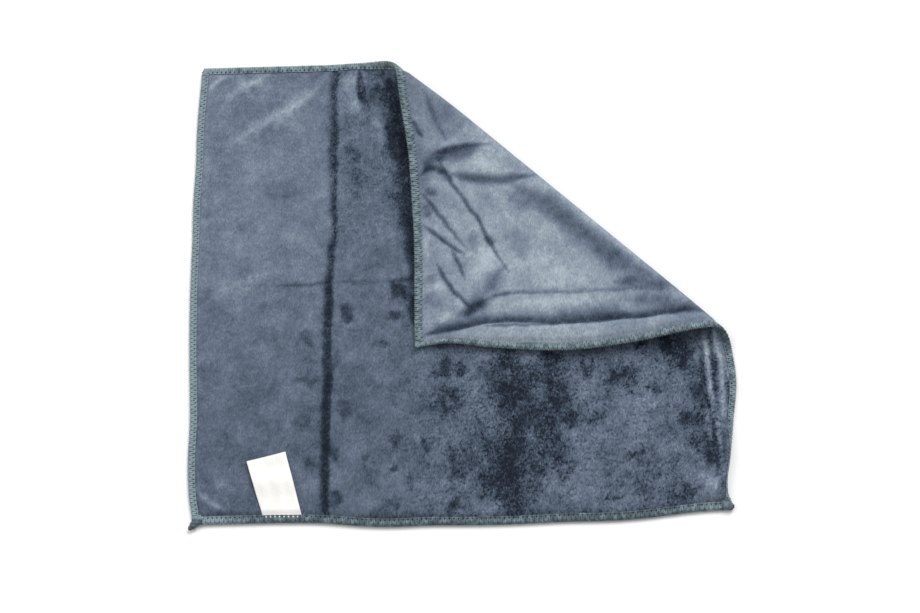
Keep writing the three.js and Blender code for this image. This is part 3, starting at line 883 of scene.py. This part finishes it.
def sewn_thread(name, stitch_points, half, material, tails=()):
    """One thread along all four edges. stitch_points are the places of one stitch: its share of
    the stitch along the edge, the distance in from the edge, the height, and how full the thread
    is. tails are the strands of loose ends. It is made flat and then laid with the cloth."""
    curve = bpy.data.curves.new(name, "CURVE")
    curve.dimensions = "3D"
    curve.bevel_depth = half * MM
    curve.bevel_resolution = 1
    curve.use_fill_caps = True
    share, inward, height, fullness = np.array(stitch_points).T
    lines = []
    for edge, (length, place) in runs.items():
        count = round((length - 2 * raw_edge) / stitch)
        pitch = (length - 2 * raw_edge) / count
        along = raw_edge - length / 2 + pitch * (np.arange(count)[:, None] + share).ravel()
        flat_places = place(along, np.tile(inward, count) * hem_share(edge, along))
        lines.append(np.stack([*flat_places, np.tile(height, count), np.tile(fullness, count)], axis=1))
    for points in [*lines, *tails]:
        line = curve.splines.new("POLY")
        line.points.add(len(points) - 1)
        four = np.column_stack([points[:, :3] * MM, np.ones(len(points))])
        line.points.foreach_set("co", four.astype(np.float32).ravel())
        line.points.foreach_set("radius", points[:, 3].astype(np.float32))
    piece = bpy.data.objects.new(name, curve)
    bpy.context.collection.objects.link(piece)
    bpy.ops.object.select_all(action="DESELECT")
    piece.select_set(True)
    bpy.context.view_layer.objects.active = piece
    bpy.ops.object.convert(target="MESH")
    piece = bpy.context.object
    bpy.ops.object.shade_smooth()
    blend_over_fold(piece)
    along_u, along_v, height = coordinates(piece).T
    set_coordinates(piece, lay(along_u, along_v, thread_flatness * height))
    # The painted light and shade of each edge's thread.
    set_attribute(piece, "pale", painted_thread_light(along_u, along_v))
    piece.data.materials.append(material)
    return piece


def nodes_of(thread_name):
    places = ("left", "near", "right", "far", "right_bend", "far_bend", "right_turned", "far_turned")
    return [f"{thread_name}_{place}" for place in places]


# Textured polyester: crimped filaments that puff up and cover the edge, dull with a faint sheen, with
# painted light that makes some edges paler and painted shade that darkens others. Real filaments are too
# fine to show and are drawn coarser.
crimped, tree, shader = new_material("crimped_polyester_thread", {
    "Roughness": 0.75,
    "Specular IOR Level": 0.2,
    "Sheen Weight": 0.2,
})
filament = 0.5
filament_share = 0.4
mottle_size = 4.0
painted_light_share = 0.33
fuzz_relief = 0.2
thread_places = node(tree, "TexCoord").outputs["Object"]
filaments = node(tree, "TexNoise", {"Vector": thread_places, "Scale": 1 / (filament * MM), "Detail": 1.0})
mottle = node(tree, "TexNoise", {"Vector": thread_places, "Scale": 1 / (mottle_size * MM), "Detail": 2.0})
mixed = node(tree, "Math", {0: filaments.outputs["Fac"], 1: filament_share, 2: mottle.outputs["Fac"]},
             operation="MULTIPLY_ADD").outputs[0]
# Painted light: the thread is drawn paler or darker by the light its edge gets.
pale_value = node(tree, "Attribute", attribute_name="pale").outputs["Fac"]
lit_thread_tone = node(tree, "Math", {0: pale_value, 1: painted_light_share, 2: mixed}, operation="MULTIPLY_ADD").outputs[0]
thread_colour = node(tree, "ValToRGB", {"Fac": lit_thread_tone}, stops=[
    (0.45, "#38454c"), (0.7, "#52636b"), (1.0, "#84959d")])
fuzz = node(tree, "Bump", {
    "Height": filaments.outputs["Fac"], "Distance": fuzz_relief * MM, "Strength": 0.5})
link_looks(tree, shader, thread_colour, fuzz)

# The upper looper thread lies over the edge. One stitch of it goes in from the rim, round the needle
# thread and out again; it lies flat and full near the rim and is pulled thin where it turns.
looper_stitch = [
    (0.00, -0.20, -0.25, 1.1), (0.10, 0.7, 0.90, 1.35), (0.21, 1.9, 1.10, 1.45), (0.25, 3.0, 1.20, 1.25),
    (0.34, 4.0, 1.15, 0.90), (0.50, 4.6, 1.00, 0.70), (0.66, 4.0, 1.15, 0.90), (0.75, 3.0, 1.20, 1.25),
    (0.79, 1.9, 1.10, 1.45), (0.90, 0.7, 0.90, 1.35),
]
upper = sewn_thread("upper_looper_thread", looper_stitch, looper_half, crimped)
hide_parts(*nodes_of("upper_looper"))

# The lower looper thread lies under the edge, half a stitch on from the upper one. The seam is locked
# at the near corners, where its ends stick out as knots.
near_left_tail = [(-193.0, -184.4, 0.8, 2.0), (-196.6, -187.6, 1.0, 3.2), (-199.4, -190.6, 1.0, 2.7),
                  (-201.6, -193.0, 0.8, 2.0), (-202.8, -194.2, 0.7, 0.8)]
near_right_tail = [(192.8, -185.4, 0.8, 2.0), (196.0, -186.8, 1.1, 3.0), (199.0, -188.0, 1.1, 3.2),
                   (200.8, -189.0, 0.9, 2.2), (201.4, -189.6, 0.8, 0.8)]
under_stitch = [(share + 0.5, inward, -height, full) for share, inward, height, full in looper_stitch]
lower = sewn_thread("lower_looper_thread", under_stitch, looper_half, crimped,
                    tails=[*twisted(near_left_tail), *twisted(near_right_tail)])
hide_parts(*nodes_of("lower_looper"))

# The needle thread holds both loopers: a row of short straight stitches along the inside of the hem,
# which dip into the fabric at their ends.
needle_stitch = [
    (0.02, hem_width, 0.8, 0.8), (0.15, hem_width, 1.2, 1.0), (0.50, hem_width, 1.45, 1.1),
    (0.85, hem_width, 1.2, 1.0), (0.98, hem_width, 0.8, 0.8),
]
needle = sewn_thread("needle_seam_thread", needle_stitch, needle_half, crimped)
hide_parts(*nodes_of("needle_thread"))

# The label: a white polyester satin ribbon folded double. Both its ends are caught in the near hem
# at a slant, and the fold lies loose on the pile, arched a little and curled up at its sides.
label_width = 28.5
label_length = 48.6
label_slant = math.radians(14.3)
label_middle = np.array([-132.0, -186.4])
label_tail_end = 1.6 - cloth_depth / 2
ribbon_half = 0.11
tongue_clearance = 0.15
pile_clearance = 0.5
leaf_gap = 0.45
leaf_gap_at_hem = 0.15
leaf_bend = 1.5
arch_height = 1.5
fold_lift = 0.9
side_curl = 0.5
curl_width = 15.0
ribbon_cells_across = 20
ribbon_cells_along = 112
label = new_grid("folded_label", ribbon_cells_across, ribbon_cells_along)
strip = coordinates(label) * MM
across = strip[:, 0] * label_width
share = 2.0 * strip[:, 1]
begin = (label_tail_end - label_middle[1] - across * math.sin(label_slant)) / math.cos(label_slant)
reach = label_length + (begin - label_length) * np.abs(share)
label_u = label_middle[0] + across * math.cos(label_slant) - reach * math.sin(label_slant)
label_v = label_middle[1] + across * math.sin(label_slant) + reach * math.cos(label_slant)
from_edge = label_v + cloth_depth / 2
on_tongue = tongue_half + tongue_clearance
rest = on_tongue + (pile_half + pile_clearance - on_tongue) * ramp(from_edge, 4.6, 9.6)
arch = arch_height * bump((from_edge - 31.0) / 13.0) + fold_lift * ramp(reach, 36.0, 48.0)
curl = side_curl * (across / curl_width) ** 2 * ramp(reach, 14.0, 30.0)
leaf = np.sign(share) * np.sqrt(np.clip((label_length - reach) / leaf_bend, 0.0, 1.0))
opened = leaf_gap_at_hem + (1.0 - leaf_gap_at_hem) * ramp(from_edge, 9.0, 23.0)
height = rest + arch + curl + leaf_gap * (leaf + 1.0) * opened
set_coordinates(label, lay(label_u, label_v, height))
thicken(label, 2 * ribbon_half)
bpy.ops.object.shade_smooth()

# Woven polyester satin: long floats of thread give a soft gloss over fine ribs. The real ribs are too
# fine to show, so they are drawn wider.
satin, tree, shader = new_material("woven_polyester_satin", {
    "Roughness": 0.42,
    "Specular IOR Level": 0.35,
    "Sheen Weight": 0.1,
})
rib_pitch = 0.9
rib_share = 0.35
rib_relief = 0.05
wave_unit = 2 * math.pi / 20  # one wave of the wave texture, in its own units
ribbon_map = node(tree, "UVMap", uv_map="UVMap").outputs["UV"]
ribs = node(tree, "TexWave", {
    "Vector": ribbon_map, "Scale": wave_unit * 2 * label_length / rib_pitch, "Distortion": 0.6,
}, bands_direction="Y")
soft_marks = node(tree, "TexNoise", {"Vector": ribbon_map, "Scale": 5.0, "Detail": 3.0})
mixed = node(tree, "Math", {0: ribs.outputs["Fac"], 1: rib_share, 2: soft_marks.outputs["Fac"]},
             operation="MULTIPLY_ADD").outputs[0]
satin_colour = node(tree, "ValToRGB", {"Fac": mixed}, stops=[
    (0.3, "#e6e4df"), (0.7, "#f3f2ee"), (1.0, "#fbfaf8")])
rib_bump = node(tree, "Bump", {
    "Height": ribs.outputs["Fac"], "Distance": rib_relief * MM, "Strength": 0.4})
link_looks(tree, shader, satin_colour, rib_bump)
label.data.materials.append(satin)
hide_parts("label_leaves", "label_tail")
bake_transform(label)

# The table: a sheet of matt white paper, even, without gloss and too large for its edge to show. It
# lies a little below the cloth, so that the two don't meet.
table_metres = 12.0
table_drop = 0.4
bpy.ops.object.select_all(action="DESELECT")
bpy.ops.mesh.primitive_plane_add(size=table_metres, location=(0, 0, -table_drop * MM))
table = bpy.context.object
table.name = "table_top"
bpy.ops.object.transform_apply(location=True)
paper, tree, shader = new_material("matt_white_paper", {
    "Base Color": linear("#fdfdfd"),
    "Roughness": 0.9,
    "Specular IOR Level": 0.1,
})
table.data.materials.append(paper)

# Studio light: a wide soft key from behind on the right, a weaker one from the left, and a bright
# even room. Each lamp has a direction, a strength and a spread in degrees.
room_strength = 0.5
studio_lights = [
    ("key_light", (0.45, 0.8, 1.0), 1.95, 40.0),
    ("side_light", (-1.0, 0.35, 0.7), 1.1, 60.0),
]
for name, toward, strength, spread in studio_lights:
    light = bpy.data.lights.new(name, "SUN")
    light.energy = strength
    light.angle = math.radians(spread)
    lamp = bpy.data.objects.new(name, light)
    lamp.rotation_euler = Vector(toward).to_track_quat("Z", "Y").to_euler()
    bpy.context.collection.objects.link(lamp)
world = bpy.data.worlds.new("bright_room")
world.use_nodes = True
room = world.node_tree.nodes["Background"]
room.inputs["Color"].default_value = linear("#ffffff")
room.inputs["Strength"].default_value = room_strength
bpy.context.scene.world = world
bpy.context.scene.view_settings.view_transform = "Standard"

# The camera looks down on the cloth as in the photograph. Its distance and target are in metres.
camera_distance = 2.5
camera_rise = math.radians(66.1)
camera_turn = math.radians(-1.03)
camera_target = Vector((0.00005, -0.0192, 0.0))
photo_width = 920
lens_in_pixels = 3286
toward_camera = Vector((
    math.sin(camera_turn) * math.cos(camera_rise),
    -math.cos(camera_turn) * math.cos(camera_rise),
    math.sin(camera_rise),
))
camera_data = bpy.data.cameras.new("photo_camera")
camera_data.sensor_width = 36.0
camera_data.lens = lens_in_pixels * camera_data.sensor_width / photo_width
camera_data.clip_end = 50.0
camera = bpy.data.objects.new("photo_camera", camera_data)
camera.location = camera_target + camera_distance * toward_camera
camera.rotation_euler = toward_camera.to_track_quat("Z", "Y").to_euler()
bpy.context.collection.objects.link(camera)
bpy.context.scene.camera = camera
